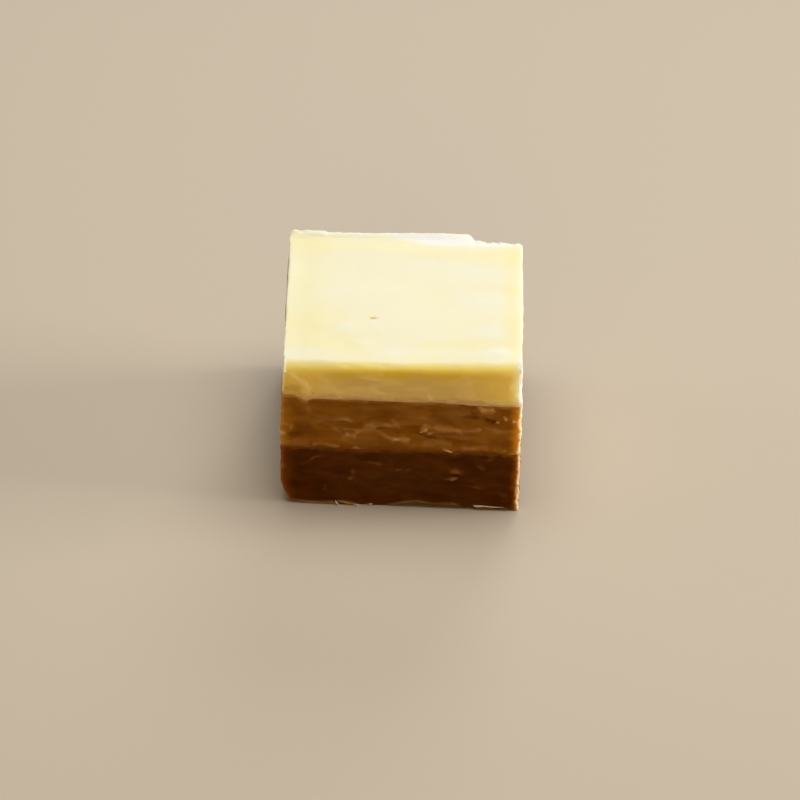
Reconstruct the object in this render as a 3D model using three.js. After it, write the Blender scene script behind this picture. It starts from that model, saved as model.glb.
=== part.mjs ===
// Layered nougat praline: a square cut from a slab of three nougats that were poured one on another,
// dark at the base, light in the middle and white on top.
// Millimetres, +Z up. The front cut faces -Y, and the origin is the middle of the base.
import * as THREE from "three";
import { ImprovedNoise } from "three/addons/math/ImprovedNoise.js";
import { mergeVertices } from "three/addons/utils/BufferGeometryUtils.js";

// Driving dimensions
const WIDTH = 22.5; // left to right, three 7.5 mm steps of a confectioner's wire cutter
const DEPTH = 22.5; // front to back
const DARK_TOP = 6.6; // height of the seam between the dark and the light nougat
const LIGHT_TOP = 12.15; // height of the seam between the light and the white nougat
const WHITE_TOP = 16; // height of the poured top at its middle

// Edges
const CORNER_RADIUS = 0.4; // upright corners that the cutter leaves
const FRONT_RIM_RADIUS = 0.95; // the poured top is rolled over along its front
const RIM_RADIUS = 0.35; // its other three edges are tighter
const BASE_EDGE_RADIUS = 0.3;

// How the slab and its cuts run off true
const TOP_RISE = 0.7; // the top climbs this much from left to right
const TOP_STROKE = { height: 0.12, x: 9, y: 3.5 }; // shallow strokes of the spatula
const SEAM_WAVE = { height: 0.4, length: 4.5 };
const SEAM_UPTURN = { height: 0.5, width: 2 }; // the upper seam climbs where it meets the left cut
const CUT_SKEW = 0.44; // the front and back cuts turn off square by this much across the width
const CUT_WANDER = { depth: 0.1, length: 8 }; // slow wander of the cutting wire
const CUT_DRAG = { depth: 0.13, along: 4.2, up: 1.1 }; // streaks dragged along the cut
const BASE_LIFT = { height: 0.45, length: 3.5, width: 1 }; // the ragged lower rim

// The broken stretch of the top's back edge, towards its right end
const CHIP = { left: 6, right: 12.8, ramp: 1, inset: 0.95, drop: 0.25, width: 3, height: 2.4 };
const CHIP_CRUMBLE = { depth: 0.3, length: 1.3 };

// The rubbed lower corner, where the front meets the left side
const RUB = { inset: 1.1, height: 2.4, curve: 1.6, width: 4, length: 6 };

// How finely each layer is divided; CROWDING draws the lines of the plan towards the cuts
const PLAN_STEPS = 24;
const DARK_STEPS = 8;
const LIGHT_STEPS = 7;
const WHITE_STEPS = 9;
const CROWDING = 0.6;

const perlin = new ImprovedNoise();
const { clamp, lerp, smoothstep } = THREE.MathUtils;

// The plan of the cut: a square with rounded corners, and rings of the same form inside it.
// u and v run from -1 to 1 across the block.
const crowded = (t) => lerp(t, Math.sin((t * Math.PI) / 2), CROWDING);

function planPoint(u, v) {
  const reach = Math.max(Math.abs(u), Math.abs(v));
  const radius = CORNER_RADIUS * reach;
  const limit = new THREE.Vector2((WIDTH / 2) * reach - radius, (DEPTH / 2) * reach - radius);
  const point = new THREE.Vector2((u * WIDTH) / 2, (v * DEPTH) / 2);
  const core = point.clone().clamp(limit.clone().negate(), limit);
  return core.clone().add(point.sub(core).setLength(radius));
}

// The four surfaces that bound the layers, as heights over a point of the plan
const seamWave = (x, y, seed) =>
  SEAM_WAVE.height * perlin.noise(x / SEAM_WAVE.length, y / SEAM_WAVE.length, seed);

function base(x, y) {
  const fromCut = Math.min(WIDTH / 2 - Math.abs(x), DEPTH / 2 - Math.abs(y));
  const ragged = Math.max(0, perlin.noise(x / BASE_LIFT.length, y / BASE_LIFT.length, 9.5));
  return BASE_LIFT.height * ragged * smoothstep(-fromCut, -BASE_LIFT.width, 0);
}

const darkSeam = (x, y) => DARK_TOP + seamWave(x, y, 1.5);

function lightSeam(x, y) {
  const upturn = smoothstep(-x, WIDTH / 2 - SEAM_UPTURN.width, WIDTH / 2);
  return LIGHT_TOP + 0.5 * seamWave(x, y, 3.5) + SEAM_UPTURN.height * upturn;
}

function pouredTop(x, y) {
  const stroke = perlin.noise(x / TOP_STROKE.x, y / TOP_STROKE.y, 5.5);
  return WHITE_TOP + (TOP_RISE * x) / WIDTH + TOP_STROKE.height * stroke;
}

// How far a cut face stands out or in at a point: the wire wanders and drags streaks along
function cutRelief(x, y, z) {
  const slow = CUT_WANDER.length;
  const wander = perlin.noise(x / slow, y / slow, z / slow + 7.5);
  const drag = perlin.noise(x / CUT_DRAG.along, y / CUT_DRAG.along, z / CUT_DRAG.up);
  return CUT_WANDER.depth * wander + CUT_DRAG.depth * drag;
}

// Radius of the top's rim in the direction of a point, larger in front and tight again at its corners
function rimRadius(x, y) {
  const reach = Math.max(Math.abs(x), Math.abs(y), 1e-6);
  const front = smoothstep(-y / reach, 0.93, 1) * smoothstep(1 - Math.abs(x) / reach, 0, 0.12);
  return lerp(RIM_RADIUS, FRONT_RIM_RADIUS, front);
}

// How far a rounded edge stands in, at a distance from the surface it rounds off to
function edgeInset(radius, distance) {
  const rise = clamp(1 - distance / radius, 0, 1);
  return radius * (1 - Math.sqrt(1 - rise * rise));
}

// How much of the chip's depth a point has, from 0 to 1
function chipShare(x, y, z) {
  const begins = smoothstep(x, CHIP.left, CHIP.left + CHIP.ramp);
  const ends = 1 - smoothstep(x, CHIP.right - CHIP.ramp, CHIP.right);
  const towardsBack = smoothstep(y, DEPTH / 2 - CHIP.width, DEPTH / 2 - RIM_RADIUS);
  const towardsTop = smoothstep(z, WHITE_TOP - CHIP.height, WHITE_TOP);
  return begins * ends * towardsBack * towardsTop;
}

// How much of the rubbed corner's depth a point has, from 0 to 1
function rubShare(x, y, z) {
  const towardsBase = clamp(1 - z / RUB.height, 0, 1) ** RUB.curve;
  const towardsLeft = smoothstep(-x, WIDTH / 2 - RUB.width, WIDTH / 2);
  const towardsFront = smoothstep(-y, DEPTH / 2 - RUB.length, DEPTH / 2);
  return towardsBase * towardsLeft * towardsFront;
}

// Where the cut piece has a point of the plan that lies at height z
function onPiece({ x, y }, z) {
  const reach = Math.max(Math.abs(x) / (WIDTH / 2), Math.abs(y) / (DEPTH / 2));
  const top = edgeInset(rimRadius(x, y), pouredTop(x, y) - z);
  const bottom = edgeInset(BASE_EDGE_RADIUS, z - base(x, y));
  const grow = 1 + (cutRelief(x, y, z) * reach ** 3 - top - bottom) / (WIDTH / 2);
  const chip = chipShare(x * grow, y * grow, z);
  const crumble = perlin.noise(x / CHIP_CRUMBLE.length, y / CHIP_CRUMBLE.length, z / CHIP_CRUMBLE.length);
  return new THREE.Vector3(
    x * grow + RUB.inset * rubShare(x, y, z),
    y * grow - (CUT_SKEW * x) / WIDTH - chip * (CHIP.inset + CHIP_CRUMBLE.depth * crumble),
    z - chip * CHIP.drop,
  );
}

// One layer between two surfaces: a block of even steps with every point moved to its place.
// spread sets how its rows are spaced up the side.
// A flipped block has its triangles mirrored, so that they meet those of the layers next to it.
function layerGeometry({ lower, upper, steps, spread, flipped }) {
  const block = new THREE.BoxGeometry(2, 2, 1, PLAN_STEPS, PLAN_STEPS, steps);
  block.deleteAttribute("normal");
  block.deleteAttribute("uv");
  const layer = mergeVertices(block);
  if (flipped) {
    layer.scale(-1, 1, 1);
    layer.index.array.reverse();
  }
  const position = layer.getAttribute("position");
  for (let i = 0; i < position.count; i++) {
    const plan = planPoint(crowded(position.getX(i)), crowded(position.getY(i)));
    const share = spread(position.getZ(i) + 0.5);
    const z = lerp(lower(plan.x, plan.y), upper(plan.x, plan.y), share);
    const placed = onPiece(plan, z);
    position.setXYZ(i, placed.x, placed.y, placed.z);
  }
  layer.computeVertexNormals();
  return layer;
}

function layerMesh(name, layer, color, roughness) {
  const material = new THREE.MeshStandardMaterial({ color, roughness, metalness: 0 });
  const mesh = new THREE.Mesh(layerGeometry(layer), material);
  mesh.name = name;
  return mesh;
}

const closeToBase = (t) => t ** 2;
const even = (t) => t;
const closeToTop = (t) => 1 - (1 - t) ** 2;

const dark = { lower: base, upper: darkSeam, steps: DARK_STEPS, spread: closeToBase };
const light = { lower: darkSeam, upper: lightSeam, steps: LIGHT_STEPS, spread: even, flipped: true };
const white = { lower: lightSeam, upper: pouredTop, steps: WHITE_STEPS, spread: closeToTop };

const praline = new THREE.Group();
praline.name = "layered_nougat_praline";
praline.add(
  layerMesh("dark_nougat", dark, 0x5a2d10, 0.5),
  layerMesh("light_nougat", light, 0x9a6128, 0.5),
  layerMesh("white_nougat", white, 0xf3e6bc, 0.42),
);

// The middle of the base is the origin
const box = new THREE.Box3().setFromObject(praline);
const middle = box.getCenter(new THREE.Vector3());
praline.children.forEach((mesh) => mesh.geometry.translate(-middle.x, -middle.y, -box.min.z));

export default praline;
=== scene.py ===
import math

import bpy
import numpy as np
from mathutils import Matrix, Vector, noise


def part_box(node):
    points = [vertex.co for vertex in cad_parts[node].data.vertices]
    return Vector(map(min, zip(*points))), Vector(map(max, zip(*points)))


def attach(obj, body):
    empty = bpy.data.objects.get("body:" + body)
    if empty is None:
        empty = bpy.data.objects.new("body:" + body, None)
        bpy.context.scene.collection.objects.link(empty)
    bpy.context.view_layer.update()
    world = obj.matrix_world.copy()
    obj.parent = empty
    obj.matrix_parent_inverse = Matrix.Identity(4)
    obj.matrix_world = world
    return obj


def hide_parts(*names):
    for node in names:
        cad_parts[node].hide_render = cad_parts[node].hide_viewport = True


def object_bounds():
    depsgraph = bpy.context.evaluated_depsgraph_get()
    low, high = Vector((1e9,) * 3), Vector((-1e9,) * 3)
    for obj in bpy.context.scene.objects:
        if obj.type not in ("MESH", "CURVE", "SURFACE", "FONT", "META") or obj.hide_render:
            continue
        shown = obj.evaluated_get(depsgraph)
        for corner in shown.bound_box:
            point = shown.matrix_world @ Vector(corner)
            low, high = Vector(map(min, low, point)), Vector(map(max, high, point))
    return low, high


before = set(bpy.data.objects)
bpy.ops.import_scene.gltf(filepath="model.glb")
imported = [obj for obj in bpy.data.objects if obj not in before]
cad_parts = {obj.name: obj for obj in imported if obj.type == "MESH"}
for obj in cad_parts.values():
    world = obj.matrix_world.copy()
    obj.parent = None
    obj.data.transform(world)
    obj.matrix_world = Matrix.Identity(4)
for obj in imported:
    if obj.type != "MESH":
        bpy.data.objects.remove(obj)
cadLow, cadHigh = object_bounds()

mm = 0.001  # sizes are in millimetres unless a name says otherwise
dice = np.random.default_rng(11)

# The cut square, from the boxes of the solids, whose relief and skew stand a little past the true faces
cadSize = (cadHigh - cadLow) / mm
cadRelief = {"width": 0.15, "depth": 0.4, "seam": 0.12, "top": 0.39}
darkBox, lightBox, whiteBox = [[corner.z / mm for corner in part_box(name)]
                               for name in ("dark_nougat", "light_nougat", "white_nougat")]
square = {
    "width": cadSize.x - cadRelief["width"],
    "depth": cadSize.y - cadRelief["depth"],
    "darkTop": (darkBox[1] + lightBox[0]) / 2,
    "lightTop": whiteBox[0] + cadRelief["seam"],
    "whiteTop": whiteBox[1] - cadRelief["top"],
    "topRise": 0.7,        # the top climbs from left to right
    "cutSkew": 0.44,       # the front and back cuts turn off square
    "columns": 220,        # points along each side, about 0.1 mm apart
    "crowding": 0.6,       # draws them towards the corners
}
# Upright corners, from left to right and front to back: radius, how rough the wire left them,
# how strongly and how far painted light shows through, and how pale their burrs and painted highlights are
corners = {
    (-1, -1): {"radius": 0.35, "rough": 1.0, "glow": 0.24, "reach": 1.8, "burrAndHighlight": 0.08},
    (1, -1): {"radius": 0.35, "rough": 2.4, "glow": 1.0, "reach": 1.35, "burrAndHighlight": 1.3},
    (1, 1): {"radius": 0.45, "rough": 1.6, "glow": 0.6, "reach": 1.0, "burrAndHighlight": 0.5},
    (-1, 1): {"radius": 0.9, "rough": 1.2, "glow": 0.4, "reach": 1.0, "burrAndHighlight": 0.15},
}
halfWidth, halfDepth = square["width"] / 2, square["depth"] / 2


def smoothStep(value, low, high):
    t = np.clip((value - low) / (high - low), 0, 1)
    return t * t * (3 - 2 * t)


def hump(value, middle, width):
    return np.exp(-((value - middle) / width) ** 2)


# A row of swells along a line: middle, width, height
def swellsAlong(x, rows):
    return sum(height * hump(x, middle, width) for middle, width, height in rows)


# Patches over the plan: x, y, half sizes, strength
def patchesOver(x, y, rows):
    return sum(strength * hump(x, a, sizeA) * hump(y, b, sizeB) for a, b, sizeA, sizeB, strength in rows)


# shift picks another stretch of the noise
def perlin(points, stretch, shift=0.0):
    scaled = points / np.array(stretch) + shift
    values = [noise.noise(p) for p in scaled.reshape(-1, 3).tolist()]
    return np.array(values).reshape(scaled.shape[:-1])


# Coarse and fine noise together: depth, size, shift of each
def perlinLayers(points, rows):
    return sum(depth * perlin(points, size, shift) for depth, size, shift in rows)


def overPlan(x, y, height):
    return np.stack([x, y, np.full_like(x, height)], axis=-1)


# What the upright corner of a point's quarter has
def byCorner(label, u, v):
    right, back = np.where(u > 0, 1, -1), np.where(v > 0, 1, -1)
    return sum(corner[label] * (right == a) * (back == b) for (a, b), corner in corners.items())


# Plan of the square: rings with rounded corners, u and v run from -1 to 1
def roundedSquare(u, v):
    reach = np.maximum(np.abs(u), np.abs(v))
    radius = byCorner("radius", u, v) * reach
    x, y = u * halfWidth, v * halfDepth
    coreX = np.clip(x, radius - halfWidth * reach, halfWidth * reach - radius)
    coreY = np.clip(y, radius - halfDepth * reach, halfDepth * reach - radius)
    length = np.maximum(np.hypot(x - coreX, y - coreY), 1e-9)
    outX, outY = (x - coreX) / length, (y - coreY) / length
    return coreX + outX * radius, coreY + outY * radius, outX, outY


# Columns run round the square from the front left corner: front, right, back, left
evenSteps = np.linspace(-1, 1, square["columns"] + 1)
columnSteps = evenSteps + square["crowding"] * (np.sin(evenSteps * math.pi / 2) - evenSteps)
sideStart = columnSteps[:-1]
sideEnd = np.ones(square["columns"])
ringU = np.concatenate([sideStart, sideEnd, -sideStart, -sideEnd])
ringV = np.concatenate([-sideEnd, sideStart, sideEnd, -sideStart])
ringX, ringY, ringOutX, ringOutY = roundedSquare(ringU, ringV)
ringSide = np.repeat(np.arange(4), square["columns"])
ringAlong = np.concatenate([sideStart] * 4) * halfWidth
ringCorner = 2 * np.abs(ringOutX * ringOutY)  # 1 in the middle of an upright corner
ringToCorner = halfWidth - np.abs(ringAlong)


# Seams as heights over the plan
seams = {
    "wave": 0.22, "waveLength": 4.5, "upperWave": 0.6,  # upperWave: share of the wave on the upper seam
    # dips and swells of the lower and the upper seam along the front
    "lowerSwells": [(-4.5, 1.9, -0.08), (1.5, 1.2, 0.06), (5.2, 0.6, -0.18), (7.5, 1.4, 0.08),
                    (10, 0.7, -0.15)],
    "upperSwells": [(-10.3, 0.6, 0.2), (-9.0, 0.45, -0.24), (-9.0, 2.5, -0.06), (-2.5, 4.0, 0.07),
                    (10.5, 2.5, -0.16)],
    "swellsFrom": 5, "swellsTo": 10,  # how far in front of the middle they fade in
    "upturn": 0.42, "upturnWidth": 2.0, "upturnCurve": 1.3,  # the upper seam climbs to the left cut
}


def nearFront(y):
    return smoothStep(-y, seams["swellsFrom"], seams["swellsTo"])


def seamWave(x, y, height):
    return seams["wave"] * perlin(overPlan(x, y, height), seams["waveLength"])


def darkSeam(x, y):
    front = nearFront(y)
    wave = (1 - front) * seamWave(x, y, 1.5)
    return square["darkTop"] + wave + front * swellsAlong(x, seams["lowerSwells"])


def lightSeam(x, y):
    wave = seams["upperWave"] * seamWave(x, y, 9.5)
    climb = np.clip((seams["upturnWidth"] - halfWidth - x) / seams["upturnWidth"], 0, 1)
    upturn = seams["upturn"] * climb ** seams["upturnCurve"]
    return square["lightTop"] + wave + upturn + nearFront(y) * swellsAlong(x, seams["upperSwells"])


# The top was spread with a spatula. Its rim is rolled over in front, rounded at the back,
# and the cuts at the sides leave a tight edge with a low lip and a trough inside it.
pouring = {
    "stroke": 0.06, "strokeLength": (9, 2.6, 1), "ripple": 0.008, "rippleLength": (3.5, 1.0, 1),
    "frontRim": 1.1, "backRim": 0.35, "sideRim": 0.14,
    "middleRim": 0.9, "middleAt": 0.3, "middleWidth": 2.2,  # the front rim is tighter in the middle
    "leftRim": 1.25, "leftFrom": 5, "leftTo": 10,           # and wider towards the left
    "rimWander": 0.12, "rimWanderLength": 1.6,
    "lip": 0.02, "lipWidth": 0.5, "trough": 0.015, "troughAt": 1.5, "troughWidth": 1.0,
    # where the back edge is torn up: middle, half length, height
    "torn": [(-10.5, 0.9, 0.32), (-9.0, 1.5, 0.34), (-2.0, 8.0, 0.18)], "tornWidth": 1.1,
}


def frontRim(x):
    middle = hump(x, pouring["middleAt"], pouring["middleWidth"])
    left = smoothStep(-x, pouring["leftFrom"], pouring["leftTo"])
    radius = pouring["frontRim"] + (pouring["middleRim"] - pouring["frontRim"]) * middle
    radius += (pouring["leftRim"] - pouring["frontRim"]) * left
    return radius + pouring["rimWander"] * perlin(overPlan(x, 0 * x, 8.8), pouring["rimWanderLength"])


def roundOff(radius, distance):
    short = 1 - np.clip(distance / radius, 0, 1)
    return radius * (1 - np.sqrt(1 - short * short))


# How far the rounded rim lies below the poured top
def rimDrop(x, y):
    return (roundOff(frontRim(x), halfDepth + y) + roundOff(pouring["backRim"], halfDepth - y)
            + roundOff(pouring["sideRim"], halfWidth - np.abs(x)))


# A point of the plan, moved in by a share of the rim's width
def insideRim(x, y, v, share):
    shift = frontRim(x) * (1 - v) / 2 - pouring["backRim"] * (1 + v) / 2
    return x * (1 - share * pouring["sideRim"] / halfWidth), y + share * shift


def pouredTop(x, y):
    spot = overPlan(x, y, 0.5)
    strokes = pouring["stroke"] * perlin(spot, pouring["strokeLength"], 5.2)
    ripples = pouring["ripple"] * perlin(spot, pouring["rippleLength"], 2.7)
    fromEdge = np.minimum(halfWidth - np.abs(x), halfDepth - y)
    lip = pouring["lip"] * hump(fromEdge, 0, pouring["lipWidth"])
    trough = pouring["trough"] * hump(fromEdge, pouring["troughAt"], pouring["troughWidth"])
    torn = np.zeros_like(x)
    for middle, length, height in pouring["torn"]:
        torn = np.maximum(torn, height * np.exp(-((x - middle) / length) ** 6))
    lip += torn * smoothStep(y, halfDepth - pouring["tornWidth"], halfDepth)
    return square["whiteTop"] + square["topRise"] * x / square["width"] + strokes + ripples + lip - trough


# Broken back edge of the top and rubbed front corner of the foot
chip = {"left": 6.0, "ramp": 0.7, "inset": 0.85, "grow": 0.09, "drop": 0.12, "reach": 2.0, "edge": 0.4,
        "height": 2.2, "crumble": 0.14, "crumbleDrop": 0.6,
        "crumbs": [(1, 0.5, 0.0), (0.6, 0.2, 3.1)]}  # coarse and fine
rub = {"inset": 1.1, "height": 2.5, "curve": 1.6, "reach": 4, "length": 6}


def settle(points):
    x, y, z = np.moveaxis(points, -1, 0)
    broken = (smoothStep(x, chip["left"], chip["left"] + chip["ramp"])
              * smoothStep(y, halfDepth - chip["reach"], halfDepth - chip["edge"])
              * smoothStep(z, square["whiteTop"] - chip["height"], square["whiteTop"]))
    crumble = np.zeros_like(x)
    near = broken > 0.01
    if near.any():
        crumble[near] = chip["crumble"] * perlinLayers(points[near], chip["crumbs"])
    depth = chip["inset"] + chip["grow"] * (x - chip["left"]) + crumble
    rubbed = (np.clip(1 - z / rub["height"], 0, 1) ** rub["curve"]
              * smoothStep(-x, halfWidth - rub["reach"], halfWidth)
              * smoothStep(-y, halfDepth - rub["length"], halfDepth))
    return np.stack([x + rub["inset"] * rubbed,
                     y - square["cutSkew"] * x / square["width"] - broken * depth,
                     z - broken * (chip["drop"] + chip["crumbleDrop"] * crumble)], axis=-1)


# Marks on the cut faces. side: 0 front, 1 right, 2 back, 3 left.
# A spot: place along the side and up, half length and half height, tilt, rise, strength.
# A line: its points from left to right, width, rise, strength.
# Raised marks are lightened, as paler smeared nougat and painted highlight, and the raised lines fade out
# below.
# A sunk line is a tear darkened with painted shade, and a sunk spot is a crater of painted shade with a
# painted highlight on its lip above it.
marking = {"lineFade": 2.3, "lipAt": 1.5, "lipWidth": 0.6, "lipRise": 0.45}


# Distance from the line, shortened below it
def fromLine(points, along, up, fade):
    nearest, place = np.full(along.shape, np.inf), along + 1j * up
    ends = [complex(*point) for point in points]
    for start, end in zip(ends, ends[1:]):
        step = end - start
        share = np.clip(((place - start) * step.conjugate()).real / abs(step) ** 2, 0, 1)
        off = place - start - share * step
        short = np.where(off.imag < 0, off.imag / fade, off.imag)
        nearest = np.minimum(nearest, np.hypot(off.real, short))
    return nearest


# How far a mark raises the cut, lightens it with paler nougat and painted highlight, and darkens it with
# painted shade
def markCut(side, mark, along, up):
    here = ringSide == side
    rise, strength = mark[-2:]
    if len(mark) == 4:
        distance = fromLine(mark[0], along, up, marking["lineFade"] if rise > 0 else 1)
        shape = np.exp(-(distance / mark[1]) ** 2) * here
        return rise * shape, strength * shape * (rise > 0), strength * shape * (rise < 0)
    at, size, tilt = mark[:3]
    turn = math.radians(tilt)
    along, up = along - at[0], up - at[1]
    a = (along * math.cos(turn) + up * math.sin(turn)) / size[0]
    b = (up * math.cos(turn) - along * math.sin(turn)) / size[1]
    if rise >= 0:
        shape = np.exp(-(a * a + b * b) ** 1.5) * here
        return rise * shape, strength * shape, 0
    hollow = np.exp(-(a * a + b * b) ** 2) * here
    lip = np.exp(-a * a - ((b - marking["lipAt"]) / marking["lipWidth"]) ** 2) * here
    return rise * (hollow - marking["lipRise"] * lip), strength * lip, hollow


# Marks like those of the front, on the sides that the photograph doesn't show. Pairs are ranges.
scattered = {
    "lineFrom": (-1.0, 0.9), "lineSteps": (2, 5), "step": (0.15, 0.45), "slope": (-0.3, 0.3),
    "bend": (-0.5, 0.5), "lineStrength": (0.3, 1.0), "smearWidth": (0.1, 0.26), "tearWidth": (0.1, 0.4),
    "spotAt": (-0.93, 0.93), "spotLength": (0.12, 0.3), "spotHeight": (0.1, 0.2), "spotTilt": (-40, 40),
    "spotStrength": (0.4, 1.0), "grainLight": 3,
    "smearRise": 0.08, "tearRise": -0.07, "grainRise": 0.12, "craterRise": -0.16,
}


def draw(settings, label):
    return dice.uniform(*settings[label])


# A line that drifts up and down along a side
def driftingPath(low, high, length):
    along, up = draw(scattered, "lineFrom") * halfWidth, dice.uniform(low, high)
    slope = draw(scattered, "slope")
    path = [(along, up)]
    for i in range(dice.integers(*scattered["lineSteps"])):
        step = length * draw(scattered, "step")
        along += step
        up = min(max(up + slope * step, low), high)
        slope += draw(scattered, "bend")
        path.append((along, up))
    return path


def scatterMarks(smears, tears, grains, craters, low, high, length, pale, dark):
    marks = []
    for side in (1, 2, 3):
        for i in range(smears + tears):
            path, strength = driftingPath(low, high, length), draw(scattered, "lineStrength")
            kind, tint = ("smear", pale) if i < smears else ("tear", dark)
            width, rise = draw(scattered, kind + "Width"), scattered[kind + "Rise"]
            marks.append((side, (path, width, rise * strength, tint * strength)))
        for i in range(grains + craters):
            at = (draw(scattered, "spotAt") * halfWidth, dice.uniform(low, high))
            size = (draw(scattered, "spotLength"), draw(scattered, "spotHeight"))
            tilt, strength = draw(scattered, "spotTilt"), draw(scattered, "spotStrength")
            kind, tint = ("grain", scattered["grainLight"] * pale) if i < grains else ("crater", pale)
            marks.append((side, (at, size, tilt, scattered[kind + "Rise"] * strength, tint * strength)))
    return marks


# How the wire left the cuts. The noise has rows of depth, size and shift, coarse and fine.
wire = {
    "wanderLength": 6.0,
    "cloud": [(1, (2.8, 2.8, 0.85), 4.4), (0.3, (0.9, 0.9, 0.42), 8.1)],  # smeared paste
    "cloudEdge": (0.0, 0.5),
    "nibble": [(0.08, 1.1, 2.2), (0.06, 0.35, 6.6)],                      # upright corners
    # the marks' outlines wander a little, and the marks are patchy
    "alongWander": [(0.3, (1.3, 1.3, 0.7), 9.2), (0.16, (0.4, 0.4, 0.3), 4.9)],
    "upWander": [(0.16, (1.1, 1.1, 0.6), 2.4), (0.1, (0.4, 0.4, 0.3), 7.7)],
    "patch": (0.8, 0.8, 0.45), "patchEdge": (-0.4, 0.4), "thinPatch": 0.65, "thickPatch": 1.3,
    "shadeOnPale": 0.6, "paleOnShade": 0.8,  # how far one hides the other
    "calm": 0.4,  # the relief dies out this close to the brown seam
}


# pale marks are paler smeared nougat and painted highlights; the dark ones are painted shade in tears and
# craters
def cutRelief(points, cut, calm):
    drag = cut["drag"] * perlin(points, (cut["dragLength"], cut["dragLength"], cut["dragHeight"]), 1.3)
    smeared = smoothStep(perlinLayers(points, wire["cloud"]), *wire["cloudEdge"])
    relief, pale, paintedShade = drag + cut["smear"] * smeared, cut["smearPale"] * smeared, 0 * smeared
    wander = cut["wander"] * perlin(points, wire["wanderLength"], 7.5)
    wander += ringCorner * perlinLayers(points, wire["nibble"]) * byCorner("rough", ringU, ringV)
    along = ringAlong + perlinLayers(points, wire["alongWander"])
    up = points[..., 2] + perlinLayers(points, wire["upWander"])
    thick = smoothStep(perlin(points, wire["patch"], 5.7), *wire["patchEdge"])
    patchy = wire["thinPatch"] + (wire["thickPatch"] - wire["thinPatch"]) * thick
    marks = [(0, mark) for mark in cut["marks"]] + scatterMarks(**cut["scatter"])
    for side, mark in marks:
        rise, light, dark = markCut(side, mark, along, up)
        relief += rise
        pale += light * patchy
        paintedShade += dark * patchy
    pale, paintedShade = np.clip(pale, 0, 2), np.clip(paintedShade, 0, 1)
    lightened = pale * (1 - wire["shadeOnPale"] * paintedShade)
    return wander + relief * calm, lightened, paintedShade * (1 - wire["paleOnShade"] * np.minimum(pale, 1))


# How far painted light shows through the corners, and the pale burrs that the wire left on them, which carry
# a painted highlight
cornerWear = {"ragged": (1.2, 1.2, 0.6), "glowRagged": 0.3,
              "burrWidth": 0.26, "burrWander": 0.12, "burrLength": 0.45, "burrFrom": -0.85, "burrTo": -0.15}


def cornerLooks(points, glowReach):
    ragged = perlin(points, cornerWear["ragged"], 3.7)
    reach = byCorner("reach", ringU, ringV) * glowReach
    near = smoothStep(-ringToCorner - cornerWear["glowRagged"] * ragged, -reach, 0)
    width = cornerWear["burrWidth"] + cornerWear["burrWander"] * perlin(points, cornerWear["burrLength"], 6.1)
    kept = smoothStep(ragged, cornerWear["burrFrom"], cornerWear["burrTo"])
    burrAndHighlight = byCorner("burrAndHighlight", ringU, ringV) * hump(ringToCorner, 0, width) * kept
    return byCorner("glow", ringU, ringV) * near, burrAndHighlight


# A tooth that the wire left standing out at the front of the left cut
toothShape = {"width": 0.35, "inset": 0.5, "length": 0.5}


def leftTooth(z, middle, height):
    plan = (hump(ringX, -halfWidth, toothShape["width"])
            * hump(ringY, toothShape["inset"] - halfDepth, toothShape["length"]))
    return plan * hump(z, middle, height)


# Meshes: a side of columns and rows, closed by a fan or by a full grid on top
def sideFaces(rows):
    count = len(ringX)
    column = np.arange(count)
    after = (column + 1) % count
    faces = []
    for row in range(rows - 1):
        low, high = row * count, (row + 1) * count
        faces.append(np.stack([low + column, low + after, high + after, high + column], axis=-1))
    return np.concatenate(faces)


def fanFaces(row, middle, up):
    count = len(ringX)
    column = row * count + np.arange(count)
    after = row * count + (np.arange(count) + 1) % count
    first, second = (column, after) if up else (after, column)
    return np.stack([first, second, np.full(count, middle)], axis=-1)


def gridFaces(row, firstInner):
    n = square["columns"]
    start = row * len(ringX)
    step = np.arange(n)
    index = np.zeros((n + 1, n + 1), int)
    index[step, 0] = start + step
    index[n, step] = start + n + step
    index[n - step, n] = start + 2 * n + step
    index[0, n - step] = start + 3 * n + step
    index[1:n, 1:n] = firstInner + np.arange((n - 1) ** 2).reshape(n - 1, n - 1)
    quads = [index[:-1, :-1], index[1:, :-1], index[1:, 1:], index[:-1, 1:]]
    return np.stack(quads, axis=-1).reshape(-1, 4)


def faceList(*groups):
    return [face for group in groups for face in group.tolist()]


def addObject(name, data):
    item = bpy.data.objects.new(name, data)
    bpy.context.scene.collection.objects.link(item)
    return item


# The last faces may be flat
def makePiece(name, points, faces, attributes, flatFaces=0):
    mesh = bpy.data.meshes.new(name)
    mesh.from_pydata((points * mm).tolist(), [], faces)
    smooth = np.ones(len(faces), bool)
    smooth[len(faces) - flatFaces:] = False
    mesh.polygons.foreach_set("use_smooth", smooth)
    for label, values in attributes.items():
        mesh.attributes.new(label, "FLOAT", "POINT").data.foreach_set("value", values.astype(np.float32))
    mesh.update()
    return addObject(name, mesh)


# A layer that is closed by a fan below and above
def closeLayer(name, points, attributes):
    rows = len(points)
    flat = np.concatenate([points.reshape(-1, 3), [points[0].mean(axis=0), points[-1].mean(axis=0)]])
    below, above = fanFaces(0, len(flat) - 2, False), fanFaces(rows - 1, len(flat) - 1, True)
    return makePiece(name, flat, faceList(sideFaces(rows), below, above), attributes, 2 * len(ringX))


def sidePoints(z, inset):
    shrink = 1 - inset / halfWidth
    return np.stack([ringX * shrink, ringY * shrink, z + 0 * ringX], axis=-1)


def sideOutward(lean):
    lean = lean[:, None] + 0 * ringX
    return np.stack([ringOutX * np.cos(lean), ringOutY * np.cos(lean), np.sin(lean)], axis=-1)


def between(low, high, rows):
    return low + (high - low) * np.linspace(0, 1, rows)[:, None]


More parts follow.
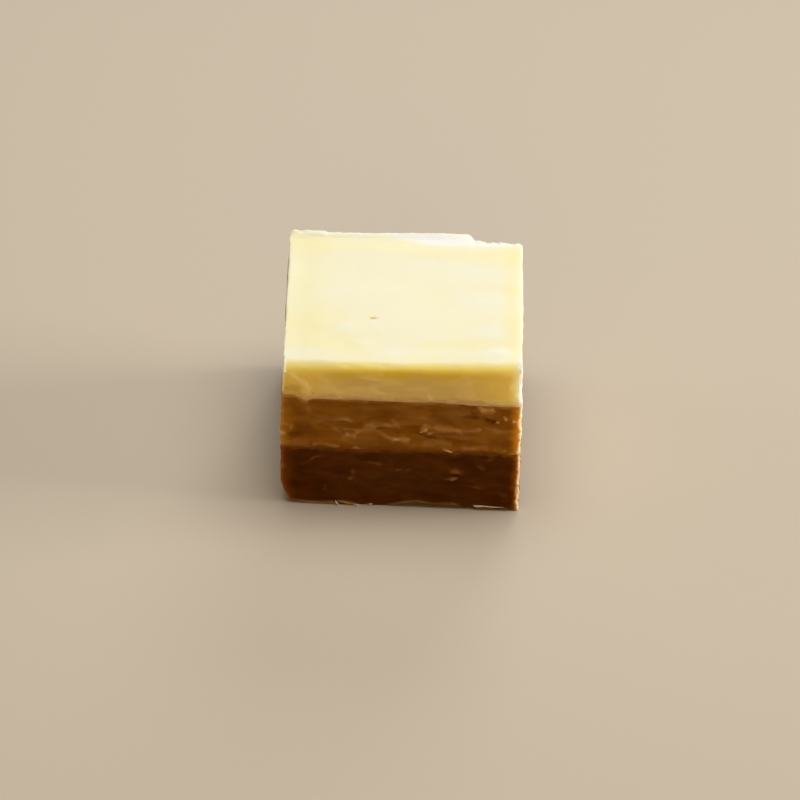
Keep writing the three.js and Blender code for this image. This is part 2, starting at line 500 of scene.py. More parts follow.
# What the materials read at each point. above and below are distances from the layer's two seams.
def sideAttributes(points, low, high, pale, paintedShade, spare, glowReach=1.0):
    z = points[..., 2]
    far = {"corner": 9.0, "above": 9.0, "below": 9.0}
    glow, burrAndHighlight = cornerLooks(points, glowReach)
    values = {"pale": pale, "paintedShade": paintedShade, "glow": glow, "burrAndHighlight": burrAndHighlight,
              "corner": ringToCorner + 0 * z, "above": z - low, "below": high - z}
    return {label: np.concatenate([value.ravel(), np.full(spare, far.get(label, 0.0))])
            for label, value in values.items()}


# Dark nougat: the foot, with a ragged lower edge
darkNougat = {
    "rows": 64, "edgeRows": 7, "footRows": 5,
    "wander": 0.08, "drag": 0.05, "dragLength": 3.5, "dragHeight": 0.9, "smear": 0.02, "smearPale": 0.05,
    "edge": 0.12, "rubbedEdge": 0.35, "rubbedSize": (1.2, 3), "foot": 1.3,
    "ragged": 0.45, "raggedLength": 2.2, "crowding": 1.7,  # crowding draws the rows to the lower edge
    # lifts of the lower edge along the front: middle, width, height
    "frontLifts": [(-5.6, 0.9, 0.2), (1.6, 1.9, 0.6), (4.8, 1.3, 0.45), (6.8, 0.8, 0.08)],
    "burrAndHighlight": 0.12, "burrHeight": 0.14, "glowReach": 0.75,
    "burrLength": 1.1, "burrEdge": (-0.1, 0.45), "frontBurr": 0.5, "burrPale": 0.7, "burrBright": 0.25,
    "tooth": 0.1, "toothAt": 4.2, "toothHeight": 0.33, "toothBright": 0.5,  # the small tooth on the left
    # the rubbed corner's glow is painted light shining through it
    "rubGlow": 0.22, "rubGlowAt": 2.2, "rubGlowSize": (0.7, 2.0, 2.0),  # light through the rubbed corner
    # pale burrs and painted highlights of the lower edge along the front: middle, half length, strength
    "frontBurrs": [(-8.4, 2.2, 0.8), (-4.9, 0.8, 0.6), (1.5, 2.2, 0.4), (4.6, 1.0, 0.25)],
    "marks": [
        ((-4.38, 3.85), (0.28, 0.2), 60, 0.03, 0.3), ((-4.68, 3.12), (0.32, 0.14), 20, 0.06, 0.5),
        ((-8.15, 5.32), (0.9, 0.14), 25, 0.03, 0.2), ((-8.92, 4.63), (0.6, 0.14), 20, 0.03, 0.15),
        ((-2.29, 4.94), (0.8, 0.14), -8, 0.06, 0.3), ((-0.23, 4.24), (0.3, 0.12), 15, 0.03, 0.25),
        ((-7.09, 1.99), (0.12, 0.35), 0, 0.02, 0.14), ((0.57, 4.26), (0.12, 0.1), 0, 0.06, 0.7),
        ((5.2, 4.36), (0.66, 0.26), -10, 0.08, 0.65), ((4.86, 3.47), (0.6, 0.14), -4, 0.07, 0.7),
        ((5.2, 3.9), (0.6, 0.14), -6, -0.05, 0), ((10.11, 6.4), (0.5, 0.16), 14, 0.04, 0.3),
        ((8.34, 5.86), (0.4, 0.2), 30, 0.03, 0.2), ((7.61, 4.93), (0.7, 0.22), -25, 0.03, 0.18),
        ((6.88, 2.63), (1.0, 0.16), -6, 0.03, 0.18), ((9.68, 1.8), (0.5, 0.2), -35, 0.03, 0.2),
        ((-6.24, 0.45), (0.13, 0.4), 0, -0.35, 0), ((0, 3.6), (4.5, 2.6), 0, 0, 0.05),
    ],
    "scatter": {"smears": 10, "tears": 4, "grains": 5, "craters": 2, "low": 0.8, "high": 6.2, "length": 2.2,
                "pale": 0.22, "dark": 0.6},
}


def lowerEdge(x, y):
    lumps = np.clip(perlin(overPlan(x, y, 3.3), darkNougat["raggedLength"]), 0, 1)
    front = swellsAlong(ringAlong, darkNougat["frontLifts"])
    return np.where(ringSide == 0, front, darkNougat["ragged"] * lumps)


# How close the points are to the upright edge at the left end of the front
def leftFrontCorner(width, length):
    return hump(ringX, -halfWidth, width) * hump(ringY, -halfDepth, length)


def buildDark():
    layer = darkNougat
    seamZ, lift = darkSeam(ringX, ringY), lowerEdge(ringX, ringY)
    edge = layer["edge"] + (layer["rubbedEdge"] - layer["edge"]) * leftFrontCorner(*layer["rubbedSize"])
    angle = np.linspace(math.pi / 2, 0, layer["edgeRows"])
    share = np.linspace(0, 1, layer["footRows"])[:-1, None]
    footZ = lift * share ** 2
    edgeZ = lift + edge * (1 - np.sin(angle))[:, None]
    wallShare = np.linspace(0, 1, layer["rows"])[1:, None]
    wallShare = (wallShare + wallShare ** layer["crowding"]) / 2
    wallZ = lift + edge + (seamZ - lift - edge) * wallShare
    z = np.concatenate([footZ, edgeZ, wallZ])
    inset = np.concatenate([layer["foot"] + (edge - layer["foot"]) * share + 0 * footZ,
                            edge * (1 - np.cos(angle))[:, None] + 0 * edgeZ, 0 * wallZ])
    lean = np.concatenate([np.full(len(share), -math.pi / 2), -angle, np.zeros(len(wallZ))])
    upright = np.cos(lean)[:, None]
    places, outward = sidePoints(z, inset), sideOutward(lean)
    relief, pale, paintedShade = cutRelief(places, layer, smoothStep(seamZ - z, 0, wire["calm"]))
    burrs = smoothStep(perlin(overPlan(ringX, ringY, 6.1), layer["burrLength"]), *layer["burrEdge"])
    burrs *= np.where(ringSide == 0, layer["frontBurr"], 1)
    for middle, length, strength in layer["frontBurrs"]:
        burrs += strength * np.exp(-((ringAlong - middle) / length) ** 4) * (ringSide == 0)
    burrAndHighlight = burrs * hump(z, lift + edge, layer["burrHeight"]) * upright
    tooth = leftTooth(z, layer["toothAt"], layer["toothHeight"])
    relief = (relief + layer["burrAndHighlight"] * burrAndHighlight + layer["tooth"] * tooth) * upright
    points = settle(places) + outward * relief[..., None]
    points[..., 2] = np.maximum(points[..., 2], 0)
    pale = np.maximum(pale, layer["burrPale"] * burrAndHighlight)
    attributes = sideAttributes(places, lift, seamZ, pale, paintedShade, 2, layer["glowReach"])
    bright = np.maximum(layer["burrBright"] * burrAndHighlight, layer["toothBright"] * tooth)
    attributes["burrAndHighlight"][:-2] = np.maximum(attributes["burrAndHighlight"][:-2], bright.ravel())
    width, length, height = layer["rubGlowSize"]
    lit = leftFrontCorner(width, length) * hump(z, layer["rubGlowAt"], height)
    attributes["glow"][:-2] += layer["rubGlow"] * lit.ravel()
    return closeLayer("dark_layer", points, attributes)


# Light nougat: the middle, with the most tears and smears
lightNougat = {
    "rows": 58,
    "wander": 0.08, "drag": 0.08, "dragLength": 3.0, "dragHeight": 0.8, "smear": 0.05, "smearPale": 0.13,
    "marks": [
        # the crumb right of the middle and the crack below it
        ((2.1, 9.1), (0.33, 0.24), 10, 0.16, 1.3), ((1.8, 8.85), (0.17, 0.12), 0, 0.1, 1.3),
        ((2.7, 8.7), (0.22, 0.1), -20, 0.08, 0.9),
        ([(1.9, 9.4), (2.3, 9.6), (2.8, 9.4)], 0.12, 0.08, 0.4),
        ([(1.4, 8.7), (2.0, 8.5), (2.7, 8.3), (3.4, 8.0)], 0.1, -0.1, 0.9),
        ((2.0, 10.4), (0.35, 0.2), 0, 0.04, 0.25),
        ([(3.5, 12.0), (5.0, 12.0), (6.9, 12.0)], 0.25, -0.04, 0.5),
        # right of it
        ([(3.2, 9.5), (4.0, 9.4), (4.8, 9.2), (5.5, 9.1)], 0.18, 0.05, 0.5),
        ([(5.3, 9.1), (6.3, 9.1), (7.2, 9.3)], 0.2, 0.05, 0.5),
        ([(7.8, 9.4), (8.5, 9.3), (9.3, 9.1), (10.4, 9.2)], 0.18, 0.04, 0.35),
        ([(2.8, 8.4), (4.1, 8.6), (6.5, 8.7)], 0.2, -0.04, 0.35),
        ([(3.0, 11.0), (4.0, 10.5), (4.7, 10.0)], 0.45, -0.03, 0.4),
        ((5.9, 11.0), (0.45, 0.12), 6, 0.05, 0.3),
        ([(6.0, 10.8), (6.8, 10.8), (7.5, 10.6), (8.3, 10.3), (8.8, 10.1)], 0.3, -0.08, 0.95),
        ([(7.2, 12.0), (7.5, 11.6), (8.0, 11.5), (8.5, 11.6)], 0.2, 0.1, 0.85),
        ((9.0, 10.1), (0.17, 0.13), 35, 0.12, 1.8), ((9.8, 10.6), (0.13, 0.2), 0, 0.12, 2.0),
        ((10.5, 10.35), (0.2, 0.17), 0, 0.14, 2.4),
        ([(2.3, 7.6), (3.4, 7.7), (4.6, 7.4)], 0.25, 0.04, 0.35),
        ([(5.8, 7.2), (7.0, 7.2), (8.1, 7.3)], 0.18, 0.05, 0.3),
        ([(8.9, 7.0), (9.7, 6.9)], 0.14, 0.05, 0.3),
        ((4.4, 6.7), (0.36, 0.12), -28, 0.12, 1.9), ([(4.7, 6.6), (5.7, 6.6)], 0.12, -0.08, 0.6),
        # left of it
        ([(-4.4, 8.1), (-3.9, 8.6), (-3.3, 8.9), (-2.8, 8.9), (-2.3, 8.6), (-1.5, 8.2), (-0.9, 8.0)],
         0.16, 0.07, 0.4),
        ([(-3.3, 9.4), (-2.0, 9.6), (-0.7, 9.5)], 0.26, 0.05, 0.38),
        ([(-2.2, 9.0), (-1.2, 8.9), (-0.4, 8.7)], 0.26, -0.06, 0.65),
        ([(-0.7, 7.9), (-0.2, 8.0), (0.5, 7.9)], 0.14, 0.1, 1),
        ([(-0.7, 10.0), (-0.5, 9.6), (-0.2, 9.3)], 0.13, 0.05, 0.4),
        ([(-5.2, 8.8), (-4.0, 8.8)], 0.14, 0.06, 0.45),
        ([(-5.4, 8.5), (-4.0, 8.6)], 0.1, -0.05, 0.2),
        ([(-5.1, 8.2), (-4.4, 8.1)], 0.1, 0.09, 0.7),
        ([(-6.2, 9.9), (-5.6, 10.0), (-4.8, 9.9)], 0.17, 0.04, 0.3),
        ((-5.0, 9.9), (0.4, 0.15), -8, 0.03, 0.25),
        ([(-7.5, 9.4), (-6.2, 9.6), (-4.8, 9.5)], 0.17, -0.05, 0.4),
        ([(-6.5, 9.0), (-5.9, 8.6), (-5.3, 7.9)], 0.16, 0.06, 0.25),
        ([(-9.5, 12.0), (-9.0, 11.5), (-8.7, 10.9)], 0.3, 0.05, 0.22),
        ([(-10.6, 11.3), (-9.8, 10.6)], 0.6, -0.02, 0.38),
        ([(-10.2, 7.9), (-9.5, 8.3), (-8.6, 8.7)], 0.5, -0.03, 0.65),
        ((-7.8, 9.9), (2.4, 0.4), 4, 0, 0.12),
        ([(-11.0, 9.3), (-10.6, 9.1), (-10.3, 8.9)], 0.14, 0.05, 0.45),
        ([(-10.0, 7.3), (-8.9, 7.2)], 0.25, 0.03, 0.2),
        ([(-8.2, 6.9), (-7.6, 7.1), (-7.0, 6.9)], 0.13, 0.05, 0.3),
        ([(-6.8, 6.8), (-5.8, 6.8)], 0.1, 0.06, 0.35),
        ([(-4.5, 6.8), (-4.2, 6.8), (-3.9, 6.6)], 0.1, 0.08, 0.5),
    ],
    "scatter": {"smears": 19, "tears": 11, "grains": 5, "craters": 2, "low": 6.9, "high": 11.9, "length": 3.0,
                "pale": 0.55, "dark": 0.75},
    "tooth": 0.3, "toothAt": 8.05, "toothHeight": 0.22,  # the larger tooth on the left
}


def buildLight():
    layer = lightNougat
    low, high = darkSeam(ringX, ringY), lightSeam(ringX, ringY)
    z = between(low, high, layer["rows"])
    places, outward = sidePoints(z, 0 * z), sideOutward(np.zeros(len(z)))
    relief, pale, paintedShade = cutRelief(places, layer, smoothStep(z - low, 0, wire["calm"]))
    tooth = leftTooth(z, layer["toothAt"], layer["toothHeight"])
    points = settle(places) + outward * (relief + layer["tooth"] * tooth)[..., None]
    attributes = sideAttributes(places, low, high, pale, paintedShade, 2)
    attributes["burrAndHighlight"][:-2] = np.maximum(attributes["burrAndHighlight"][:-2], tooth.ravel())
    return closeLayer("light_layer", points, attributes)


# White nougat: the smooth poured top with its rolled front rim
whiteNougat = {
    "rows": 32, "edgeRows": 15,
    "wander": 0.07, "drag": 0.05, "dragLength": 4.0, "dragHeight": 1.2, "smear": 0.02, "smearPale": 0.25,
    "marks": [
        ((-2.68, 13.56), (0.6, 0.3), 0, 0.03, 0.4), ((-2.08, 13.13), (0.6, 0.18), -10, 0.04, 0.45),
        ((-6.18, 12.35), (0.9, 0.1), 2, 0.05, 0.5), ((2.61, 12.7), (0.5, 0.25), -50, 0.04, 0.4),
        ((4.76, 12.45), (0.4, 0.08), 0, 0.05, 0.5), ((9.37, 12.25), (0.9, 0.08), 0, 0.05, 0.5),
        ((10.11, 14.08), (0.4, 0.2), 10, 0.03, 0.3), ((-5.59, 15.5), (0.3, 0.12), 0, 0.03, 0.3),
        ((-9.5, 13.7), (1.6, 0.32), -45, 0.06, 0.8), ((-6.6, 13.2), (1.2, 0.4), -20, 0.03, 0.4),
        ((-3.3, 14.7), (0.9, 0.18), -12, 0.03, 0.5), ((-7.4, 14.2), (0.9, 0.3), -30, 0.03, 0.4),
        ([(-11.0, 13.2), (-10.2, 13.0), (-9.6, 12.7)], 0.5, -0.02, 0.8),
    ],
    "scatter": {"smears": 8, "tears": 2, "grains": 3, "craters": 1, "low": 12.6, "high": 15, "length": 2.4,
                "pale": 0.35, "dark": 0.3},
    "seamLip": 0.06, "lipLength": 1.6, "lipHeight": 0.12, "lipEdge": (-0.1, 0.4),
    "rimNibble": 0.06, "nibbleLength": 0.6,  # on the other cuts
    # the front leans back under the rim towards its ends, and the darker band above the lower seam reaches
    # further up there
    "leftEnd": (4, 9), "leftLean": 0.2, "leftSeamBand": 0.5,
    "rightEnd": (5, 10), "rightLean": 0.1, "rightSeamBand": 0.05, "leanHeight": (13.4, 15.0),
    # the layer is a little narrower than the others, and its front turns in towards the right corner
    "draft": 0.11, "draftHeight": 1.2, "turnIn": 0.42, "turnWidth": 0.9,
    # the golden band under the rim is painted light shining through the rim
    "otherBands": 8.0,  # the golden band under the rim is narrower on the cuts away from the front
    "asideReach": (0.3, 2.5),  # where the plain cream of those cuts sets in behind the front
    "leftGlow": 0.3,
    # a painted highlight along the upright edge at the left
    "leftHighlight": 0.6, "leftEdgeSize": (0.15, 1.5), "leftEdgeHeight": (0.3, 2.5),  # the pale edge at the left
    # a painted highlight along the rim at the back
    "paintedHighlight": 0.5, "highlightLength": (1.5, 1.5, 0.5),  # the rim at the back
    "frontTurn": (0.5, 0.9), "otherRim": (0.75, 1),  # the look of the cuts ends lower on the other rims
    # pit and other marks of the poured top, then small nicks along its front rim
    "pit": (-2.98, -3.07, 0.36, 0.14, -0.16),
    "topMarks": [(-5.42, -4.82, 1.0, 0.8, 0.04), (9.06, -8.64, 1.0, 0.7, 0.06),
                 (-5.98, -7.27, 1.4, 0.9, -0.04), (-4.2, -7.3, 0.9, 0.5, 0.03),
                 (-9.0, -10.6, 0.5, 0.16, -0.06), (-5.3, -10.7, 0.55, 0.18, -0.09),
                 (-2.9, -10.65, 0.6, 0.16, -0.08), (-1.7, -10.8, 0.35, 0.16, -0.09),
                 (4.9, -10.75, 0.45, 0.16, -0.07), (-4.1, -10.75, 0.4, 0.18, 0.06)],
    # warm and pale patches of the poured top; the pale spots by the dent and at the front right corner
    # are painted highlights, and the warm patch at the back left is painted shade along the crease
    "warmth": 0.3,
    "topTones": [(-9.0, -3.9, 3.5, 2.9, 0.55), (-6.4, -7.6, 3.0, 1.5, 0.4), (0.0, -10.3, 12.0, 0.9, 0.28),
                 (10.2, 7.0, 0.8, 2.2, 0.6), (10.2, 1.5, 0.7, 1.8, 0.6), (10.3, -4.5, 0.8, 3.0, 0.6),
                 (6.0, -7.5, 5.0, 1.0, 0.55), (-9.5, 9.0, 3.0, 2.0, 0.63), (-3.0, 9.0, 4.0, 1.2, 0.4),
                 (3.3, 7.8, 4.0, 1.0, 0.4), (8.0, 7.5, 3.0, 1.0, 0.3), (-9.8, 2.0, 1.5, 8.0, 0.25),
                 (-5.7, -4.8, 0.9, 0.7, -0.5), (8.9, -8.8, 1.2, 0.7, -0.7), (7.6, 4.7, 2.0, 0.8, -0.35),
                 (8.2, -0.2, 2.0, 1.0, -0.4), (7.9, -5.0, 1.7, 0.7, -0.35), (5.0, 0.0, 3.0, 4.0, -0.05),
                 (-9.5, -9.2, 2.5, 0.9, -0.3), (-0.5, -8.8, 1.2, 1.0, -0.25)],
    "crease": {"from": -10.2, "fadeIn": 0.8, "to": -3.7, "fadeOut": 1.5, "at": 10.45, "middle": -7.2,
               "bow": 0.03, "depth": 0.05, "width": 0.14, "fold": 0.6, "foldWidth": 0.4},
    # the torn back edge gets a painted highlight from this line on, most of all beside the broken stretch
    "backLine": 10.7, "backFade": (-0.4, 0.5), "brokenShift": 1.5, "brokenReach": (-3, 4),
    "leftShift": 0.15, "leftReach": (6.5, 8),
}


def topRelief(x, y):
    crease = whiteNougat["crease"]
    along = (smoothStep(x, crease["from"], crease["from"] + crease["fadeIn"])
             * smoothStep(-x, -crease["to"], crease["fadeOut"] - crease["to"]))
    line = crease["at"] + crease["bow"] * (x - crease["middle"]) ** 2
    fold = crease["fold"] * smoothStep(y, line, line + crease["foldWidth"]) - hump(y, line, crease["width"])
    marks = patchesOver(x, y, [whiteNougat["pit"], *whiteNougat["topMarks"]])
    return marks + crease["depth"] * along * fold


# painted shade in the pit
def topShade(x, y):
    return patchesOver(x, y, [(*whiteNougat["pit"][:4], 1)])


def topWarmth(x, y):
    return np.clip(whiteNougat["warmth"] + patchesOver(x, y, whiteNougat["topTones"]), 0, 1)


# painted highlight along the torn back edge
def backHighlight(x, y):
    line = whiteNougat["backLine"] - whiteNougat["brokenShift"] * smoothStep(x, *whiteNougat["brokenReach"])
    line = line - whiteNougat["leftShift"] * smoothStep(-x, *whiteNougat["leftReach"])
    return smoothStep(y - line, *whiteNougat["backFade"])


def drawIn(points):
    x, y, z = np.moveaxis(points, -1, 0)
    up = smoothStep(z - square["lightTop"], 0, whiteNougat["draftHeight"])
    turned = np.exp((x - halfWidth - y - halfDepth) / whiteNougat["turnWidth"])
    narrowed = x * (1 - whiteNougat["draft"] / halfWidth * up)
    return np.stack([narrowed, y + whiteNougat["turnIn"] * turned * up, z], axis=-1)


def buildWhite():
    layer = whiteNougat
    low, high = lightSeam(ringX, ringY), pouredTop(ringX, ringY)
    angle = np.linspace(0, math.pi / 2, layer["edgeRows"])[1:]
    edgeX, edgeY = insideRim(ringX, ringY, ringV, (1 - np.cos(angle))[:, None])
    edgeZ = pouredTop(edgeX, edgeY) - rimDrop(edgeX, edgeY)
    wallZ = between(low, high - rimDrop(ringX, ringY), layer["rows"])
    z = np.concatenate([wallZ, edgeZ])
    lean = np.concatenate([np.zeros(len(wallZ)), angle])
    cut, onTop = np.cos(lean)[:, None] + 0 * z, np.sin(lean)[:, None]
    turning = 2 * cut * onTop  # 1 in the middle of the rim
    edge = np.stack([edgeX, edgeY, edgeZ], axis=-1)
    points, outward = np.concatenate([sidePoints(wallZ, 0 * wallZ), edge]), sideOutward(lean)
    relief, pale, paintedShade = cutRelief(points, layer, 1)
    lips = smoothStep(perlin(overPlan(ringX, ringY, 2.2), layer["lipLength"]), *layer["lipEdge"])
    relief = relief * cut + layer["seamLip"] * lips * np.exp(-(z - low) / layer["lipHeight"])
    relief += layer["rimNibble"] * perlin(points, layer["nibbleLength"], 5.5) * turning * (ringSide != 0)
    relief += topRelief(points[..., 0], points[..., 1]) * onTop
    leftEnd = smoothStep(-ringX, *layer["leftEnd"]) * (ringSide == 0)
    rightEnd = smoothStep(ringX, *layer["rightEnd"]) * (ringSide == 0)
    endLean = layer["leftLean"] * leftEnd + layer["rightLean"] * rightEnd
    relief -= endLean * smoothStep(z, *layer["leanHeight"]) * cut
    sides = settle(drawIn(points)) + outward * relief[..., None]

    u, v = np.meshgrid(columnSteps[1:-1], columnSteps[1:-1], indexing="ij")
    x, y = roundedSquare(u, v)[:2]
    x, y = insideRim(x, y, v, np.maximum(np.abs(u), np.abs(v)) ** 2)
    top = settle(drawIn(np.stack([x, y, pouredTop(x, y) + topRelief(x, y)], axis=-1)))
    flat = np.concatenate([sides.reshape(-1, 3), top.reshape(-1, 3), [sides[0].mean(axis=0)]])
    faces = faceList(sideFaces(len(z)), gridFaces(len(z) - 1, z.size), fanFaces(0, len(flat) - 1, False))

    attributes = sideAttributes(points, low, high, pale * cut, paintedShade, x.size + 1)
    onSides, onInner = slice(z.size), slice(z.size, z.size + x.size)
    seamBand = layer["leftSeamBand"] * leftEnd + layer["rightSeamBand"] * rightEnd
    for label, factor in (("below", np.where(ringSide == 0, 1, layer["otherBands"])), ("above", 1 - seamBand),
                          ("glow", np.where(ringX > 0, 1, layer["leftGlow"]))):
        attributes[label][onSides] *= (factor + 0 * z).ravel()
    aside = smoothStep(ringY + halfDepth, *layer["asideReach"]) + 0 * z
    front = smoothStep(-ringOutY, *layer["frontTurn"])
    cutShare = front * cut + (1 - front) * smoothStep(cut, *layer["otherRim"])
    for label, values in (("aside", aside), ("cut", cutShare)):
        attributes[label] = np.concatenate([values.ravel(), np.zeros(x.size + 1)])
    # painted highlight on the back rim and along the left edge
    paintedHighlight = (layer["paintedHighlight"] + perlin(points, layer["highlightLength"], 1.9)) * turning * (ringSide == 2)
    leftHighlight = layer["leftHighlight"] * leftFrontCorner(*layer["leftEdgeSize"])
    paintedHighlight += leftHighlight * smoothStep(z - low, *layer["leftEdgeHeight"])
    attributes["burrAndHighlight"][onSides] = np.clip(attributes["burrAndHighlight"][onSides] + paintedHighlight.ravel(), 0, 1)
    attributes["burrAndHighlight"][onInner] = backHighlight(x, y).ravel()
    attributes["paintedShade"][onInner] = topShade(x, y).ravel()
    sideWarmth = topWarmth(points[..., 0], points[..., 1])
    attributes["warm"] = np.concatenate([sideWarmth.ravel(), topWarmth(x, y).ravel(), [0.0]])
    return makePiece("white_layer", flat, faces, attributes, len(ringX))


# Shavings that the wire left hanging along the lower edge, turned up to the light
shavings = {
    # along the front and up, how wide, how far out, where the widest place is from 0 to 1
    "front": [([(-6.1, 0.5), (-5.95, 0.3), (-5.75, 0.05)], 0.28, 0.2, 0.5),
              ([(-4.35, 0.12), (-4.05, 0.1), (-3.7, 0.08)], 0.3, 0.18, 0.4),
              ([(-3.9, 0.1), (-3.3, 0.07), (-2.85, 0.12)], 0.14, 0.12, 0.5),
              ([(-2.9, 0.2), (-2.75, 0.22), (-2.55, 0.2)], 0.18, 0.12, 0.5),
              ([(6.95, 0.5), (7.6, 0.5), (8.2, 0.46), (9.0, 0.4), (10.0, 0.36)], 0.22, 0.16, 0.22)],
    # on each other side: how many, how far out, how far they sag, and ranges for the rest
    "otherSides": 3, "otherStand": 0.1, "otherSag": (0, 0.04, 0.1), "otherFrom": (-0.9, 0.75),
    "otherLength": (0.5, 2.2), "otherLift": (0.15, 0.45), "otherWidth": (0.1, 0.18),
    "otherWidest": (0.3, 0.6), "thickness": 0.1, "turn": 60, "steps": 24, "ring": 8,
    "bluntness": 0.7, "tip": 0.04, "ripple": 0.15, "ripples": 9, "lift": 0.01,
    # the front shavings are painted paler, as light shining through them
    "pale": 0.9, "otherPale": 0.35,  # those of the front are lit through
}


def onSide(side, along, out, up):
    places = [(along, -halfDepth - out), (halfWidth + out, along),
              (-along, halfDepth + out), (-halfWidth - out, -along)]
    x, y = places[side]
    return settle(np.stack([x, y, up], axis=-1))


# Half width of a shaving along its length
def shavingSwell(steps, widest, start):
    body = np.sin(math.pi * steps ** (math.log(0.5) / math.log(widest))) ** shavings["bluntness"]
    ripple = shavings["ripple"] * np.sin(shavings["ripples"] * steps + start)
    return body * (1 - shavings["ripple"] + ripple) + shavings["tip"]


def buildShavings():
    jobs = [(*shaving, 0) for shaving in shavings["front"]]
    for side in (1, 2, 3):
        for i in range(shavings["otherSides"]):
            start = draw(shavings, "otherFrom") * halfWidth
            length, lift = draw(shavings, "otherLength"), draw(shavings, "otherLift")
            path = [(start + k / 2 * length, lift - sag) for k, sag in enumerate(shavings["otherSag"])]
            width, widest = draw(shavings, "otherWidth"), draw(shavings, "otherWidest")
            jobs.append((path, width, shavings["otherStand"], widest, side))
    count, ring, turn = shavings["steps"], shavings["ring"], math.radians(shavings["turn"])
    steps = np.linspace(0, 1, count)
    points, faces, pale = [], [], []
    for path, width, stand, widest, side in jobs:
        knots = np.linspace(0, 1, len(path))
        along, up = [np.interp(steps, knots, values) for values in zip(*path)]
        swell = shavingSwell(steps, widest, path[0][0])
        start = len(points) * count
        pale += [shavings["pale"] if side == 0 else shavings["otherPale"]] * (count * ring)
        for angle in np.linspace(0, 2 * math.pi, ring, endpoint=False):
            across = 0.5 * width * swell * math.cos(angle)
            thick = 0.5 * shavings["thickness"] * swell * math.sin(angle)
            out = stand * swell - across * math.sin(turn) + thick * math.cos(turn)
            height = up + across * math.cos(turn) + thick * math.sin(turn)
            points.append(onSide(side, along, out, np.maximum(height, shavings["lift"])))
        for i in range(ring):
            here, there = start + i * count, start + (i + 1) % ring * count
            faces += [[here + k, there + k, there + k + 1, here + k + 1] for k in range(count - 1)]
        faces.append([start + i * count for i in range(ring)][::-1])
        faces.append([start + i * count + count - 1 for i in range(ring)])
    flat, pale = np.concatenate(points), np.array(pale)
    far = np.full(len(flat), 9.0)
    return makePiece("base_shavings", flat, faces, {"pale": pale, "above": far, "below": far})


# Shader groups that the nougats share
def makeGroup(name, output, build, **inputs):
    group = bpy.data.node_groups.new(name, "ShaderNodeTree")
    for label, default in inputs.items():
        socket = group.interface.new_socket(label, in_out="INPUT", socket_type="NodeSocketFloat")
        socket.default_value = default
    group.interface.new_socket(output, in_out="OUTPUT", socket_type="NodeSocketFloat")
    given = group.nodes.new("NodeGroupInput").outputs
    out = group.nodes.new("NodeGroupOutput").inputs[output]
    group.links.new(build(group, given), out)
    return group


def addNode(tree, kind, links=None, **settings):
    node = tree.nodes.new(kind)
    for label, value in settings.items():
        setattr(node, label, value)
    for socket, source in (links or {}).items():
        if hasattr(source, "is_output"):
            tree.links.new(source, node.inputs[socket])
        else:
            node.inputs[socket].default_value = source
    return node


def doMath(tree, operation, first, second):
    return addNode(tree, "ShaderNodeMath", {0: first, 1: second}, operation=operation).outputs[0]


def times(tree, first, second):
    return doMath(tree, "MULTIPLY", first, second)


def remap(tree, value, fromLow, fromHigh, toLow=0.0, toHigh=1.0, smooth=False):
    kind = "SMOOTHSTEP" if smooth else "LINEAR"
    links = {"Value": value, "From Min": fromLow, "From Max": fromHigh, "To Min": toLow, "To Max": toHigh}
    return addNode(tree, "ShaderNodeMapRange", links, interpolation_type=kind).outputs["Result"]


def vectorMath(tree, operation, links):
    return addNode(tree, "ShaderNodeVectorMath", links, operation=operation).outputs[0]


def inMillimetres(tree):
    place = addNode(tree, "ShaderNodeTexCoord").outputs["Object"]
    return vectorMath(tree, "SCALE", {0: place, 3: 1 / mm})


# Patterns of the groups. The ranges are stretched to run from 0 to 1, or from -1 to 1 for the fade.
patterns = {"roughness": 0.55, "dragDetail": 2.0, "dragDistortion": 0.4, "fleckRange": (0.42, 0.2),
            "cloudDetail": 3.0, "mottleRange": (0.32, 0.68), "fadeSize": (1.2, 0.6), "fadeRange": (0.3, 0.7)}


def stretchedNoise(tree, length, height, detail, distortion=0.0):
    stretch = addNode(tree, "ShaderNodeCombineXYZ", {0: length, 1: length, 2: height}).outputs[0]
    place = vectorMath(tree, "DIVIDE", {0: inMillimetres(tree), 1: stretch})
    links = {"Vector": place, "Scale": 1.0, "Detail": detail, "Roughness": patterns["roughness"],
             "Distortion": distortion}
    return addNode(tree, "ShaderNodeTexNoise", links).outputs["Fac"]


# Soft streaks that the wire drags along every cut
def dragStreaks(tree, given):
    detail, distortion = patterns["dragDetail"], patterns["dragDistortion"]
    grain = stretchedNoise(tree, given["Length"], given["Height"], detail, distortion)
    low = doMath(tree, "SUBTRACT", 0.5, given["Contrast"])
    high = doMath(tree, "ADD", 0.5, given["Contrast"])
    return remap(tree, grain, low, high, smooth=True)


# Flecks of finely ground hazelnut
def fleckSpots(tree, given):
    scale = doMath(tree, "DIVIDE", 1.0, given["Size"])
    cells = addNode(tree, "ShaderNodeTexVoronoi", {"Vector": inMillimetres(tree), "Scale": scale})
    spot = remap(tree, cells.outputs["Distance"], *patterns["fleckRange"])
    chance = addNode(tree, "ShaderNodeSeparateColor", {"Color": cells.outputs["Color"]}).outputs[0]
    return times(tree, spot, doMath(tree, "LESS_THAN", chance, given["Share"]))


# Slow unevenness of the mass
def mottleShade(tree, given):
    cloud = stretchedNoise(tree, given["Length"], given["Height"], patterns["cloudDetail"])
    return remap(tree, cloud, *patterns["mottleRange"])


# Fades from 1 at an edge or a seam to 0, with a ragged front
def edgeFade(tree, given):
    cloud = stretchedNoise(tree, *patterns["fadeSize"], patterns["cloudDetail"])
    shift = times(tree, remap(tree, cloud, *patterns["fadeRange"], -1, 1), given["Ragged"])
    distance = doMath(tree, "ADD", given["Distance"], shift)
    fade = remap(tree, distance, given["Reach"], 0.0, smooth=True)
    return times(tree, fade, given["Amount"])


